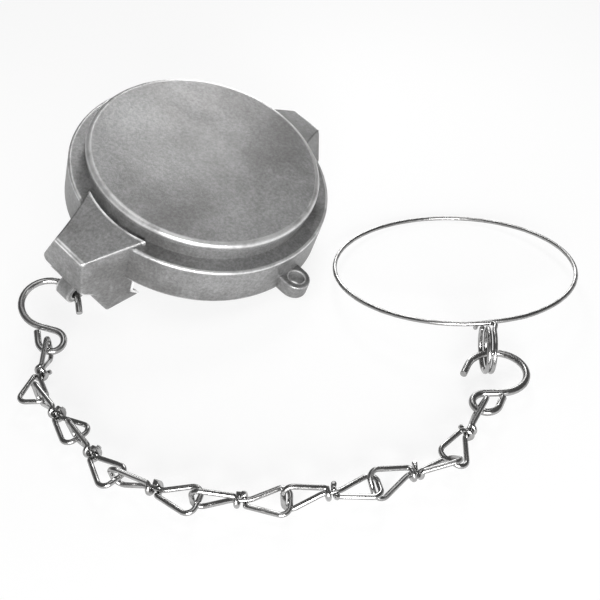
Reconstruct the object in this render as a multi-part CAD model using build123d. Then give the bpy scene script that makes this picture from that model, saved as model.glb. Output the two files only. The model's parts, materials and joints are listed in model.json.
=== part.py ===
from build123d import *
import os
from math import acos, asin, atan2, cos, degrees, hypot, radians, sin, sqrt, tan

os.makedirs("parts", exist_ok=True)

# The cap's own frame has the rim plane at z = 0, the lugs along X and the ear along +Y.
RIM_R = 63.0
LEDGE_Z = 20.5
LEDGE_WIDTH = 8.3
NECK_R = RIM_R - LEDGE_WIDTH
DISC_OVERHANG = 1.3
DISC_R = NECK_R + DISC_OVERHANG
DISC_STAND = 10.5
DISC_Z = LEDGE_Z + DISC_STAND
DISC_EDGE = 3.4
DISC_FILLET = 2.2
LEDGE_FILLET = 0.9
RIM_FILLET = 0.8

# The underside: a ring channel for the mating claws, and a boss that seats the seal
WALL = 4.5
LEDGE_PLATE = 4.5
TOP_PLATE = 7.0
CHANNEL_WIDTH = 6.5
BOSS_R = RIM_R - WALL - CHANNEL_WIDTH
BOSS_WALL = 3.5
BOSS_RECESS = 0.6
SEAT_THICKNESS = 8.0
GROOVE_DEPTH = 5.5
GROOVE_WIDTH = 9.0
GROOVE_INNER_WALL = 3.5
GROOVE_OUTER_WALL = 3.5
SEAT_BORE_R = BOSS_R - GROOVE_OUTER_WALL - GROOVE_WIDTH - GROOVE_INNER_WALL
SEAL_CLEARANCE = 0.15
SEAL_PROUD = 1.2
SEAL_LIP_GAP = 1.6
SEAL_LIP_DEPTH = 2.6

# Each lug is a tapered block on the ledge, with a claw that hooks inward below the rim.
LUG_REACH = 18.0
LUG_TIP_R = RIM_R + LUG_REACH
LUG_TIP_HALF = 9.0
LUG_DRAFT = 3.0
LUG_CHEEK_DRAFT = 22.0
LUG_CHEEK_EDGE = 3.0
LUG_ROOT_GAP = 2.8
LUG_ROOT_R = NECK_R + LUG_ROOT_GAP
LUG_ROOT_HALF = 17.7
LUG_ROOT_RISE = 1.5
LUG_ROOT_Z = LEDGE_Z + LUG_ROOT_RISE
LUG_TIP_DROP = 5.0
LUG_TIP_Z = LEDGE_Z - LUG_TIP_DROP
LUG_FOOT_Z = -4.6
LUG_FOOT_DRAFT = 0.6
CLAW_SHOULDER_SET = 5.0
CLAW_SHOULDER_R = LUG_TIP_R - CLAW_SHOULDER_SET
CLAW_SHOULDER_Z = -6.5
CLAW_HEEL_SET = 10.5
CLAW_HEEL_R = CLAW_SHOULDER_R - CLAW_HEEL_SET
CLAW_DEPTH = 24.0
CLAW_OVERHANG = 5.5
CLAW_TIP_R = RIM_R - WALL - CLAW_OVERHANG
CLAW_TIP_THICKNESS = 2.2
CLAW_TIP_RISE = 5.6
CLAW_UNDERCUT_RISE = 4.6
CLAW_EDGE = 3.5
LUG_EDGE = 1.1
LUG_GROOVE_DEPTH = 0.6

# A lug eye for the S-hook hangs under each lug's outer end.
EYE_SET = 3.3
EYE_R = LUG_TIP_R - EYE_SET
EYE_DROP = 3.6
EYE_Z = CLAW_SHOULDER_Z - EYE_DROP
EYE_BORE_R = 3.2
EYE_WALL = 2.6
EYE_WIDTH = 8.0
EYE_OFFSET = 1.5
EYE_PLAY = 0.8

# The ear stands beside the rim, halfway between the lugs.
EAR_STAND = 4.5
EAR_R = RIM_R + EAR_STAND
EAR_BORE_R = 4.0
EAR_WALL = 2.75
EAR_HEIGHT = 8.0
EAR_EDGE = 0.8

# Wires
HOOK_WIRE = 3.0
LINK_WIRE = 2.1
RING_WIRE = 2.0
WIRE_SIDES = 12
BEND_STEP = 30.0
RING_STEP = 10.0
CONTACT_GAP = 0.2

# S-hooks: a big loop and a small loop, joined by a short straight run
HOOK_BIG_R = 12.3
HOOK_SMALL_R = 5.4
HOOK_CENTRES = 19.2
HOOK_BIG_END = 6.0
HOOK_SMALL_END = 5.5
HOOK_END_FLARE = 4.0

# Knotted links: two trapezoid loops at right angles, each wire end wound round the neck
LINK_LENGTH = 35.6
LINK_HALF = 6.8
LINK_CORNER_R = 3.2
NECK_HALF = 3.2
NECK_BEND_R = 6.0
WRAP_START = 1.8
WRAP_PITCH = 1.0
WRAP_CORNERS = 5
WRAP_STEP = 60.0
WRAP_ENTRY_R = 1.3
WRAP_TAIL = 1.7

# The spring wire ring: one end wound into an eye of two turns, the other hooked behind it
RING_R = 56.5
COIL_R = 9.2
COIL_TURNS = 2
COIL_PITCH = 2.3
COIL_STEP = 24.0
COIL_BEND_R = 2.0
COIL_EXIT_SET = 1.4
COIL_LEAD = 28.0
COIL_IN = 48.0
COIL_OUT = 36.0
RING_HOOK_TAIL = 22.0
RING_YAW = 9.0
HOOK_IN_COIL = 305.0

# How the parts lie on the table: directions in plan and rolls about a link, in degrees
LUG_DIRECTION = 229.2
HOOK_BEARING = 143.0
LINK_HEADINGS = (-90.0, -50.0, -52.0, -22.0, -2.5, 10.5, 22.5, 62.0)
LINK_ROLLS = (90.0, 95.0, 100.0, 104.0, 102.0, 86.0, 50.0, 20.0)
LINK_SLACK = (0.2, 4.2, 4.9, 0.4, 0.2, 0.2, 0.2, 1.7)
HOOK_CATCH = 217.5
CATCH_DROP = 1.0
RING_HOOK_HEADING = 67.0
RING_HOOK_SLACK = 0.5
COIL_PLAY = 0.8
COIL_ON_HOOK = 102.0
COIL_HEADING = 87.0


def polar(radius, angle):
    """A plan vector of this length at this angle in degrees."""
    return Vector(radius * cos(radians(angle)), radius * sin(radians(angle)))


def rounded(points, radii, step=BEND_STEP):
    """The path's corners, each replaced by short chords round an arc of its radius."""
    path = [points[0]]
    for before, corner, after, radius in zip(points, points[1:-1], points[2:], radii):
        back = (before - corner).normalized()
        ahead = (after - corner).normalized()
        turn = radians(180 - back.get_angle(ahead))
        centre = corner + (back + ahead).normalized() * (radius / cos(turn / 2))
        spoke = (corner + back * (radius * tan(turn / 2)) - centre) / radius
        chords = max(1, round(degrees(turn) / step))
        reach = radius / cos(turn / chords / 2)
        for k in range(chords):
            swing = turn * (k + 0.5) / chords
            path.append(centre + (spoke * cos(swing) - back * sin(swing)) * reach)
    path.append(points[-1])
    return path


def wire_solid(path, diameter):
    """A wire of the given diameter along a path of short straight runs."""
    line = Polyline(*path)
    section = Plane(origin=line @ 0, z_dir=line % 0) * RegularPolygon(diameter / 2, WIRE_SIDES)
    return sweep(section, path=line, transition=Transition.RIGHT)


def turned(points, rounds=()):
    """A solid turned about Z from an outline of (radius, height) points."""
    outline = make_face(Polyline(*points, close=True))
    for corner, radius in rounds:
        vertex = outline.vertices().sort_by_distance(Vector(*corner))[0]
        outline = fillet(vertex, radius)
    return revolve(Plane.XZ * outline, Axis.Z)


def make_shell():
    """The turned outside: rim, ledge, neck and top disc."""
    disc_foot_z = DISC_Z - DISC_EDGE
    points = [
        (0, 0),
        (RIM_R, 0),
        (RIM_R, LEDGE_Z),
        (NECK_R, LEDGE_Z),
        (NECK_R, disc_foot_z - (DISC_R - NECK_R)),
        (DISC_R, disc_foot_z),
        (DISC_R, DISC_Z),
        (0, DISC_Z),
    ]
    rounds = [
        ((RIM_R, 0), RIM_FILLET),
        ((RIM_R, LEDGE_Z), LEDGE_FILLET),
        ((DISC_R, DISC_Z), DISC_FILLET),
    ]
    return turned(points, rounds)


def lug_plan(height, cheek_draft=LUG_DRAFT):
    """The lug's tapered plan at a height: its tip widens downward with the draft of each side."""
    drop = LUG_TIP_Z - height
    tip = LUG_TIP_HALF + drop * tan(radians(LUG_DRAFT))
    cheek = LUG_TIP_HALF + drop * tan(radians(cheek_draft))
    share = (LUG_ROOT_R - BOSS_R) / (LUG_TIP_R - LUG_ROOT_R)
    root = LUG_ROOT_HALF + (LUG_ROOT_HALF - tip) * share
    corners = [(LUG_TIP_R, -cheek), (LUG_TIP_R, tip), (BOSS_R, root), (BOSS_R, -root)]
    return Plane.XY.offset(height) * make_face(Polyline(*corners, close=True))


def make_lug():
    """One lug pointing along +X: a flared block above its foot and a claw below, still uncut inside."""
    foot = (LUG_TIP_R - LUG_FOOT_DRAFT, LUG_FOOT_Z)
    tip_z = CLAW_TIP_RISE - CLAW_DEPTH
    underside = CLAW_TIP_RISE / (CLAW_HEEL_R - CLAW_TIP_R)
    claw_side = [
        (BOSS_R, LUG_FOOT_Z),
        foot,
        (CLAW_SHOULDER_R, CLAW_SHOULDER_Z),
        (CLAW_HEEL_R, -CLAW_DEPTH),
        (BOSS_R, tip_z + underside * (CLAW_TIP_R - BOSS_R)),
    ]
    claw = lug_slab(claw_side) & loft([lug_plan(-CLAW_DEPTH), lug_plan(LUG_FOOT_Z)])
    heel = claw.edges().filter_by(lambda e: abs(e.center().Y) > CLAW_EDGE and e.center().Z < CLAW_SHOULDER_Z)
    claw = fillet(heel.filter_by(lambda e: e.center().X > BOSS_R + 1), CLAW_EDGE)
    slope = (LUG_ROOT_Z - LUG_TIP_Z) / (LUG_TIP_R - LUG_ROOT_R)
    top_z = LUG_ROOT_Z + slope * (LUG_ROOT_R - BOSS_R)
    block = lug_slab([(BOSS_R, LUG_FOOT_Z), (BOSS_R, top_z), (LUG_TIP_R, LUG_TIP_Z), foot])
    block &= loft([lug_plan(LUG_FOOT_Z, LUG_CHEEK_DRAFT), lug_plan(top_z, LUG_CHEEK_DRAFT)])
    outer = block.edges().filter_by(lambda e: e.center().X > BOSS_R + 1)
    cheek = outer.filter_by(lambda e: e.center().Z < LUG_FOOT_Z + 1 and e.center().Y < -LUG_TIP_HALF)
    block = fillet(cheek, LUG_CHEEK_EDGE)
    outer = block.edges().filter_by(lambda e: e.center().X > BOSS_R + 1)
    block = fillet(outer.filter_by(lambda e: e.center().Z > LUG_FOOT_Z + LUG_CHEEK_EDGE), LUG_EDGE)
    return claw + block


def lug_slab(side):
    """A slab wider than the lug with this side view."""
    return extrude(Plane.XZ * make_face(Polyline(*side, close=True)), 2 * LUG_ROOT_HALF, both=True)


def make_eye():
    """The eye under a lug: a rounded block whose bore runs along the lug's side."""
    outer_r = EYE_BORE_R + EYE_WALL
    height = CLAW_SHOULDER_Z - EYE_Z + EYE_WALL
    start = Location((EYE_R, EYE_OFFSET - EYE_WIDTH / 2, EYE_Z), (-90, 0, 0))
    ring = start * Cylinder(outer_r, EYE_WIDTH, align=(Align.CENTER, Align.CENTER, Align.MIN))
    length = LUG_TIP_R - LUG_FOOT_DRAFT - EYE_R + outer_r
    seat = (Align.MIN, Align.CENTER, Align.MIN)
    web = Pos(EYE_R - outer_r, EYE_OFFSET, EYE_Z) * Box(length, EYE_WIDTH, height, align=seat)
    return ring + web


def eye_bore():
    """The S-hook's bore through the eye, a little longer than the eye is wide."""
    return Pos(EYE_R, EYE_OFFSET, EYE_Z) * Rot(90, 0, 0) * Cylinder(EYE_BORE_R, EYE_WIDTH + 2 * CONTACT_GAP)


def make_ear():
    """The ear beside the rim, with its web, along +Y."""
    outer_r = EAR_BORE_R + EAR_WALL
    boss = Pos(0, EAR_R, 0) * Cylinder(outer_r, EAR_HEIGHT, align=(Align.CENTER, Align.CENTER, Align.MIN))
    web = Pos(0, EAR_R, 0) * Box(
        2 * outer_r, EAR_R - RIM_R + WALL / 2, EAR_HEIGHT, align=(Align.CENTER, Align.MAX, Align.MIN)
    )
    ear = boss + web
    rims = ear.edges().filter_by(lambda e: e.center().Y > EAR_R - 1 and e.geom_type == GeomType.CIRCLE)
    return fillet(rims, EAR_EDGE)


def cavity():
    """What is hollow below: the claw channel, the boss recess and the seal groove."""
    inner_r = RIM_R - WALL
    tip_z = CLAW_TIP_RISE - CLAW_DEPTH
    lip_z = tip_z + CLAW_TIP_THICKNESS
    channel_z = LEDGE_Z - LEDGE_PLATE
    groove_in = SEAT_BORE_R + GROOVE_INNER_WALL
    groove_out = BOSS_R - GROOVE_OUTER_WALL
    points = [
        (0, -CLAW_DEPTH - WALL),
        (CLAW_TIP_R, -CLAW_DEPTH - WALL),
        (CLAW_TIP_R, lip_z),
        (inner_r, lip_z + CLAW_UNDERCUT_RISE),
        (inner_r, channel_z),
        (BOSS_R, channel_z),
        (BOSS_R, BOSS_RECESS),
        (groove_out, BOSS_RECESS),
        (groove_out, BOSS_RECESS + GROOVE_DEPTH),
        (groove_in, BOSS_RECESS + GROOVE_DEPTH),
        (groove_in, BOSS_RECESS),
        (SEAT_BORE_R, BOSS_RECESS),
        (SEAT_BORE_R, BOSS_RECESS + SEAT_THICKNESS),
        (BOSS_R - BOSS_WALL, BOSS_RECESS + SEAT_THICKNESS),
        (BOSS_R - BOSS_WALL, DISC_Z - TOP_PLATE),
        (0, DISC_Z - TOP_PLATE),
    ]
    return turned(points)


def make_cap():
    """The one-piece casting."""
    lug = make_lug() + make_eye()
    groove = turned([
        (0, LEDGE_Z - LUG_GROOVE_DEPTH),
        (LUG_ROOT_R, LEDGE_Z - LUG_GROOVE_DEPTH),
        (LUG_ROOT_R, DISC_Z + WALL),
        (0, DISC_Z + WALL),
    ])
    lug -= groove
    cap = make_shell() + make_ear()
    for turn in (0, 180):
        cap += Rot(0, 0, turn) * lug
    cap -= cavity()
    cap -= Pos(0, EAR_R, 0) * Cylinder(EAR_BORE_R, 4 * EAR_HEIGHT)
    for turn in (0, 180):
        cap -= Rot(0, 0, turn) * eye_bore()
    return cap


def make_seal():
    """The rubber sealing ring in the boss groove, with a soft lip toward the mating face."""
    inner = SEAT_BORE_R + GROOVE_INNER_WALL + SEAL_CLEARANCE
    outer = BOSS_R - GROOVE_OUTER_WALL - SEAL_CLEARANCE
    back = BOSS_RECESS + GROOVE_DEPTH
    face = BOSS_RECESS - SEAL_PROUD
    middle = (inner + outer) / 2
    return turned([
        (inner, back),
        (inner, face),
        (middle - SEAL_LIP_GAP, face),
        (middle, face + SEAL_LIP_DEPTH),
        (middle + SEAL_LIP_GAP, face),
        (outer, face),
        (outer, back),
    ])


def hook_points():
    """An S-hook's centreline in its own plane: big loop at the origin, small loop along +X."""
    lean = degrees(acos((HOOK_BIG_R + HOOK_SMALL_R) / HOOK_CENTRES))
    small = Vector(HOOK_CENTRES, 0)
    big_start = polar(HOOK_BIG_R, -90)
    small_end = small + polar(HOOK_SMALL_R, 90)
    flare = sin(radians(HOOK_END_FLARE))
    points = [big_start + Vector(HOOK_BIG_END, -HOOK_BIG_END * flare)]
    points += arc_corners(Vector(0, 0), HOOK_BIG_R, -90, lean - 360)
    points += arc_corners(small, HOOK_SMALL_R, 180 + lean, 90 + 360)
    points.append(small_end + Vector(-HOOK_SMALL_END, HOOK_SMALL_END * flare))
    return points


def arc_corners(centre, radius, start, end, step=BEND_STEP):
    """Corners of the chords that lie round an arc, from one angle to another in degrees."""
    chords = max(1, round(abs(end - start) / step))
    swing = (end - start) / chords
    reach = radius / cos(radians(swing / 2))
    return [centre + polar(reach, start + swing * (k + 0.5)) for k in range(chords)]


def link_points():
    """A knotted link along X: one loop in the XY plane toward -X, the other in the XZ plane."""
    end = LINK_LENGTH / 2
    coil_r = LINK_WIRE + CONTACT_GAP / 2
    reach = coil_r / cos(radians(WRAP_STEP / 2))
    rise = WRAP_PITCH * WRAP_STEP / 360

    def wrap(side, start_angle):
        corners = []
        for k in range(WRAP_CORNERS):
            angle = start_angle + WRAP_STEP * k
            ring = polar(reach, angle)
            corners.append(Vector(side * (WRAP_START - rise * k), ring.X, ring.Y))
        corners[-1] += (corners[-1] - corners[-2]).normalized() * WRAP_TAIL
        return corners

    near = wrap(-1, 0)
    far = wrap(1, 90)
    points = near[::-1] + [
        Vector(-end, LINK_HALF, 0),
        Vector(-end, -LINK_HALF, 0),
        Vector(-NECK_HALF, 0, 0),
        Vector(NECK_HALF, 0, 0),
        Vector(end, 0, -LINK_HALF),
        Vector(end, 0, LINK_HALF),
    ] + far
    loop = [LINK_CORNER_R, LINK_CORNER_R]
    wound = [coil_r] * (WRAP_CORNERS - 2)
    radii = wound + [WRAP_ENTRY_R] + loop + [NECK_BEND_R] * 2 + loop + [WRAP_ENTRY_R] + wound
    return rounded(points, radii)


def cap_tip():
    """The angle at which the cap rests on its ear and on one bottom corner of each claw."""
    ear_r = EAR_R + EAR_BORE_R + EAR_WALL - EAR_EDGE
    tip_half = LUG_TIP_HALF + (LUG_TIP_Z + CLAW_DEPTH) * tan(radians(LUG_DRAFT))
    share = (LUG_TIP_R - CLAW_HEEL_R) / (LUG_TIP_R - LUG_ROOT_R)
    claw_half = tip_half + (LUG_ROOT_HALF - tip_half) * share - CLAW_EDGE
    span = ear_r - claw_half
    drop = CLAW_DEPTH - CLAW_EDGE + EAR_EDGE
    tip = degrees(atan2(drop, span) + asin((CLAW_EDGE - EAR_EDGE) / hypot(span, drop)))
    height = ear_r * sin(radians(tip)) - EAR_EDGE * cos(radians(tip)) + EAR_EDGE
    return tip, height


def place_cap():
    """The cap tipped toward its ear, its lug and ear turned as they lie."""
    tip, height = cap_tip()
    return Location((0, 0, height)) * Rot(0, 0, LUG_DIRECTION) * Rot(-tip, 0, 0)


def loop_reach():
    """How far a loop's rounded corner stands out from the link's middle line."""
    run = LINK_LENGTH / 2 - NECK_HALF
    slope = atan2(LINK_HALF, run)
    return (run - LINK_CORNER_R) * tan(slope) + LINK_CORNER_R * (1 - 1 / cos(slope))


def link_axis_z(roll):
    """The height of a link's middle line when it lies on the table at this roll."""
    return loop_reach() * max(abs(sin(radians(roll))), abs(cos(radians(roll)))) + LINK_WIRE / 2


def catch_height(roll):
    """The height of an S-hook's wire where it runs through a loop of the link at this roll."""
    return link_axis_z(roll) - CATCH_DROP


def place_hook_at_cap(cap_place):
    """The first S-hook: through the first lug's eye, its small loop caught in the first link."""
    sag = EYE_BORE_R - HOOK_WIRE / 2 - EYE_PLAY
    tip, _ = cap_tip()
    low = Vector(0, -sin(radians(tip)), -cos(radians(tip))) * sag
    seat = (cap_place * Pos(EYE_R, EYE_OFFSET, EYE_Z + low.Z)).position
    along = (cap_place * Pos(0, -1, 0)).position - cap_place.position
    level = Vector(0, 0, 1).cross(along).normalized()

    def frame(lean):
        ahead = level * cos(radians(lean)) - along.cross(level) * sin(radians(lean))
        big = seat + ahead * HOOK_BIG_R
        aim = along * cos(radians(HOOK_BEARING)) + ahead * sin(radians(HOOK_BEARING))
        normal = along.cross(ahead)
        return Plane(origin=big, x_dir=aim, z_dir=-normal)

    def lowest(plane):
        small = plane.from_local_coords(Vector(HOOK_CENTRES, 0, 0))
        dip = HOOK_SMALL_R * sqrt(1 - plane.z_dir.Z ** 2)
        return small.Z - dip - catch_height(LINK_ROLLS[0])

    flat, steep = -20.0, 70.0
    for _ in range(40):
        lean = (flat + steep) / 2
        if lowest(frame(lean)) > 0:
            flat = lean
        else:
            steep = lean
    return frame(lean)


def bar_contact(bar, other_bar, heading):
    """The direction from one bar to the one caught behind it, along the heading."""
    normal = bar.cross(other_bar).normalized()
    return normal if normal.dot(heading) > 0 else -normal


def place_link(start, heading, roll):
    """A link that starts at this bar centre, as a plane at its middle."""
    ahead = polar(1, heading)
    left = Vector(0, 0, 1).cross(ahead)
    side = left * cos(radians(roll)) + Vector(0, 0, 1) * sin(radians(roll))
    return Plane(origin=start + ahead * (LINK_LENGTH / 2), x_dir=ahead, z_dir=ahead.cross(side))


def place_links(hook_plane):
    """Every link in turn, each caught on the bar before it; the first on the S-hook's small loop."""
    aim = polar(1, LINK_HEADINGS[0])
    aim -= hook_plane.z_dir * aim.dot(hook_plane.z_dir)
    spoke = aim.normalized()
    small = hook_plane.from_local_coords(Vector(HOOK_CENTRES, 0, 0))
    end = small + spoke * HOOK_SMALL_R
    bar = hook_plane.z_dir.cross(spoke)
    pivots = [(end, bar)]
    reach = (HOOK_WIRE + LINK_WIRE) / 2 + CONTACT_GAP
    planes = []
    for heading, roll, slack in zip(LINK_HEADINGS, LINK_ROLLS, LINK_SLACK):
        trial = place_link(Vector(0, 0, 0), heading, roll)
        start = end - bar_contact(bar, trial.y_dir, polar(1, heading)) * (reach + slack)
        start = Vector(start.X, start.Y, link_axis_z(roll))
        link = place_link(start, heading, roll)
        planes.append(link)
        end = link.from_local_coords(Vector(LINK_LENGTH / 2, 0, 0))
        bar = link.z_dir
        pivots.append((end, bar))
        reach = LINK_WIRE + CONTACT_GAP
    return planes, pivots


def coil_reach():
    """The radius of the coil's outermost corners, which stand a little outside its arc."""
    return COIL_R / cos(radians(COIL_STEP / 2))


def hook_in_coil():
    """Where the second S-hook's wire lies in the coil: across and up from the coil's centre."""
    return polar(COIL_R - (RING_WIRE + HOOK_WIRE) / 2 - COIL_PLAY, HOOK_IN_COIL)


def place_hook_at_ring(link):
    """The second S-hook: its small loop caught in the last link, its big loop in the coil."""
    end = link.from_local_coords(Vector(LINK_LENGTH / 2, 0, 0))
    turn = RING_HOOK_HEADING + 180
    catch = polar(HOOK_SMALL_R, HOOK_CATCH - turn) + Vector(HOOK_CENTRES, 0)
    cradle = polar(HOOK_BIG_R, COIL_ON_HOOK - turn)
    tangent = polar(1, HOOK_CATCH + 90)
    heading = link.x_dir
    reach = (HOOK_WIRE + LINK_WIRE) / 2 + CONTACT_GAP + RING_HOOK_SLACK
    seat = end - bar_contact(link.z_dir, tangent, heading) * reach
    seat = Vector(seat.X, seat.Y, catch_height(LINK_ROLLS[-1]))
    cradle_z = coil_reach() + RING_WIRE / 2 + hook_in_coil().Y
    slope = (cradle_z - seat.Z) / (cradle.X - catch.X)
    aim = (polar(1, turn) + Vector(0, 0, slope)).normalized()
    side = polar(1, turn + 90)
    origin = seat - aim * catch.X - side * catch.Y
    return Plane(origin=origin, x_dir=aim, z_dir=aim.cross(side))


def place_coil(hook_plane):
    """The middle of the ring's coil: X along the coil's axis, Y across it toward the ring."""
    seat = hook_plane.from_local_coords(polar(HOOK_BIG_R, COIL_ON_HOOK - RING_HOOK_HEADING - 180))
    across = hook_in_coil()
    centre = seat - polar(across.X, COIL_HEADING) - Vector(0, 0, across.Y)
    return Plane(origin=centre, x_dir=polar(1, COIL_HEADING - 90), z_dir=(0, 0, 1))


def ring_points():
    """The ring's wire about its coil: X along the coil's axis, Y across it toward the ring, Z up."""
    outside = coil_reach() + RING_WIRE + CONTACT_GAP

    def spot(along, radius, angle):
        side = polar(radius, angle)
        return Vector(along, side.X, side.Y)

    middle = spot(0, outside, (COIL_IN + COIL_OUT) / 2)
    floor = RING_WIRE / 2 - (coil_reach() + RING_WIRE / 2)
    big_reach = RING_R / cos(radians(RING_STEP / 2))
    tilt = asin((middle.Z - floor) / (RING_R + big_reach))
    spoke = Vector(0, cos(tilt), -sin(tilt)).rotate(Axis.Z, RING_YAW)
    across = Vector(1, 0, 0).rotate(Axis.Z, RING_YAW)
    hub = middle + spoke * RING_R
    half = COIL_PITCH * COIL_TURNS / 2
    tail_x = -half - RING_WIRE
    path = [spot(tail_x, outside, COIL_OUT - RING_HOOK_TAIL), spot(tail_x, outside, COIL_OUT)]
    steps = round(360 / RING_STEP)
    for k in range(1, steps):
        turn = radians(k * 360 / steps)
        path.append(hub + (across * sin(turn) - spoke * cos(turn)) * big_reach)
    path.append(spot(half + COIL_EXIT_SET, outside, COIL_IN))
    chords = round(COIL_TURNS * 360 / COIL_STEP)
    for k in range(chords):
        turn = COIL_LEAD + k * COIL_STEP
        path.append(spot(half - COIL_PITCH * turn / 360, coil_reach(), COIL_IN + turn))
    radii = [COIL_BEND_R] + [RING_R] * (steps - 1) + [COIL_BEND_R] + [COIL_R] * (chords - 1)
    return rounded(path, radii)


def build_parts():
    """Every solid where it lies, named as its node."""
    cap_place = place_cap()
    first_hook = place_hook_at_cap(cap_place)
    links, _ = place_links(first_hook)
    last_hook = place_hook_at_ring(links[-1])
    coil = place_coil(last_hook)
    hook = wire_solid(hook_points(), HOOK_WIRE)
    link = wire_solid(link_points(), LINK_WIRE)
    ring = wire_solid(ring_points(), RING_WIRE)
    parts = {
        "cap_body": cap_place * make_cap(),
        "sealing_ring": cap_place * make_seal(),
        "s_hook_cap": first_hook * hook,
    }
    for number, plane in enumerate(links, 1):
        parts[f"chain_link_{number}"] = plane * link
    parts["s_hook_ring"] = last_hook * hook
    parts["retaining_ring"] = coil * ring
    return parts


def main():
    """Build, centre the whole on its footprint and write one file for each node."""
    parts = build_parts()
    box = Compound(list(parts.values())).bounding_box()
    home = Pos(-box.center().X, -box.center().Y, -box.min.Z)
    for name, solid in parts.items():
        export_step(home * solid, f"parts/{name}.step")
        print(name, round(solid.volume, 1))
    print("box", box.size, "home", home.position)


if __name__ == "__main__":
    main()
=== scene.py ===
"""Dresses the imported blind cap: cast aluminium, rubber seal, plated chain wire, studio and camera."""

import json
import logging
from dataclasses import dataclass
from enum import Enum
from math import acos, asin, cos, degrees, radians, sin, tan

import bpy
from mathutils import Matrix, Vector

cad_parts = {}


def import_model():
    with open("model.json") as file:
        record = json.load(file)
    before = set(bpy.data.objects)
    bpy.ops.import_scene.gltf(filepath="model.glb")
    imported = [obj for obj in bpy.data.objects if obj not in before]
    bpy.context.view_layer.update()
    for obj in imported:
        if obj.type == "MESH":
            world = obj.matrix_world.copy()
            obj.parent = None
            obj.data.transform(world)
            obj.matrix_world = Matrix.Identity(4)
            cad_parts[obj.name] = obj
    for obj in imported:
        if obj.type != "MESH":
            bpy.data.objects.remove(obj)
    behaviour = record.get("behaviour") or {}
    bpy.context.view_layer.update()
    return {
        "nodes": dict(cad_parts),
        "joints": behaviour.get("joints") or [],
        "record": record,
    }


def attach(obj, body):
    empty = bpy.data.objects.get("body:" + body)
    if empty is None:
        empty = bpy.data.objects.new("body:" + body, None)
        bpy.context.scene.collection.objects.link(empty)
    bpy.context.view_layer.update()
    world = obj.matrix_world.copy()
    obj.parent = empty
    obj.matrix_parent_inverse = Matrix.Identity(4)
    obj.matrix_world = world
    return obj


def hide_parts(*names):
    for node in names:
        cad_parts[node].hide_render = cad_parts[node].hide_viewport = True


LOG = logging.getLogger("blind_cap")
MM = 0.001
PHOTO_PIXELS = 600
SENSOR_WIDTH = 36.0
FULL_TURN = 360.0
UP = Vector((0.0, 0.0, 1.0))
MIX_FACTOR, MIX_FIRST, MIX_SECOND, MIX_RESULT = 0, 6, 7, 2


class Slot(Enum):
    """The record's material slots."""

    CASTING = "cast_aluminium"
    SEAL = "seal_rubber"
    CHAIN = "chain_wire"
    HOOK = "hook_wire"
    RING = "ring_wire"


class Side(Enum):
    """The two ends of a knotted link."""

    NEAR = -1
    FAR = 1


def polar(radius: float, angle: float) -> Vector:
    """A vector in the XY plane.

    Args:
        radius: its length.
        angle: its direction in degrees from X.

    Returns:
        The vector, with no height.
    """
    return Vector((radius * cos(radians(angle)), radius * sin(radians(angle)), 0.0))


def about_axis(along: float, radius: float, angle: float) -> Vector:
    """A point about the X axis.

    Args:
        along: how far along the axis.
        radius: its distance from the axis.
        angle: its direction about the axis, in degrees from Y.

    Returns:
        The point.
    """
    side = polar(radius, angle)
    return Vector((along, side.x, side.y))


class Marks:
    """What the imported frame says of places: its pivots and mounts, in millimetres."""

    def __init__(self, joints: list[dict], mounts: list[dict]) -> None:
        """Sorts the pivots by the body that swings on them, and the mounts by name.

        Args:
            joints: the frame's joints.
            mounts: the record's mounts.
        """
        self.joints = {joint["child"]: joint for joint in joints}
        self.mounts = {mount["name"]: mount for mount in mounts}

    def pivot(self, body: str) -> Vector:
        """Where a body swings."""
        return Vector(self.joints[body]["pos_m"]) / MM

    def pivot_way(self, body: str) -> Vector:
        """The direction of the wire that a body swings on."""
        return Vector(self.joints[body]["axis"]).normalized()

    def mount(self, name: str) -> Vector:
        """Where a mount is."""
        return Vector(self.mounts[name]["pos_m"]) / MM

    def mount_way(self, name: str) -> Vector:
        """The direction of a mount's axis."""
        return Vector(self.mounts[name]["axis"]).normalized()


@dataclass(frozen=True)
class Place:
    """Where a piece lies: an origin in millimetres and the directions of its own X and Z."""

    origin: Vector
    x_dir: Vector
    z_dir: Vector

    def turn(self) -> Matrix:
        """The turn from the piece's own frame to the row frame.

        Returns:
            The turn, with X kept as given and Z made square to it.
        """
        x_axis = self.x_dir.normalized()
        z_axis = (self.z_dir - x_axis * self.z_dir.dot(x_axis)).normalized()
        return Matrix((x_axis, z_axis.cross(x_axis), z_axis)).transposed()

    def matrix(self) -> Matrix:
        """The move from the piece's own frame, in millimetres, to the row frame, in metres."""
        return Matrix.Scale(MM, 4) @ Matrix.Translation(self.origin) @ self.turn().to_4x4()


@dataclass(frozen=True)
class LinkLay:
    """How a link lies: its heading on the surface and its roll, in degrees."""

    heading: float
    roll: float

    def place(self, far_end: Vector, length: float) -> Place:
        """The link's place.

        Args:
            far_end: the middle of its far bar.
            length: from the middle of one bar to the middle of the other.

        Returns:
            The place of its middle, X along the link.
        """
        ahead = polar(1.0, self.heading)
        roll = radians(self.roll)
        side = UP.cross(ahead) * cos(roll) + UP * sin(roll)
        return Place(far_end - ahead * (length / 2), ahead, ahead.cross(side))


def deselect_all() -> None:
    """Leaves nothing selected, in object mode."""
    if bpy.context.object and bpy.context.object.mode != "OBJECT":
        bpy.ops.object.mode_set(mode="OBJECT")
    bpy.ops.object.select_all(action="DESELECT")


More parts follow.
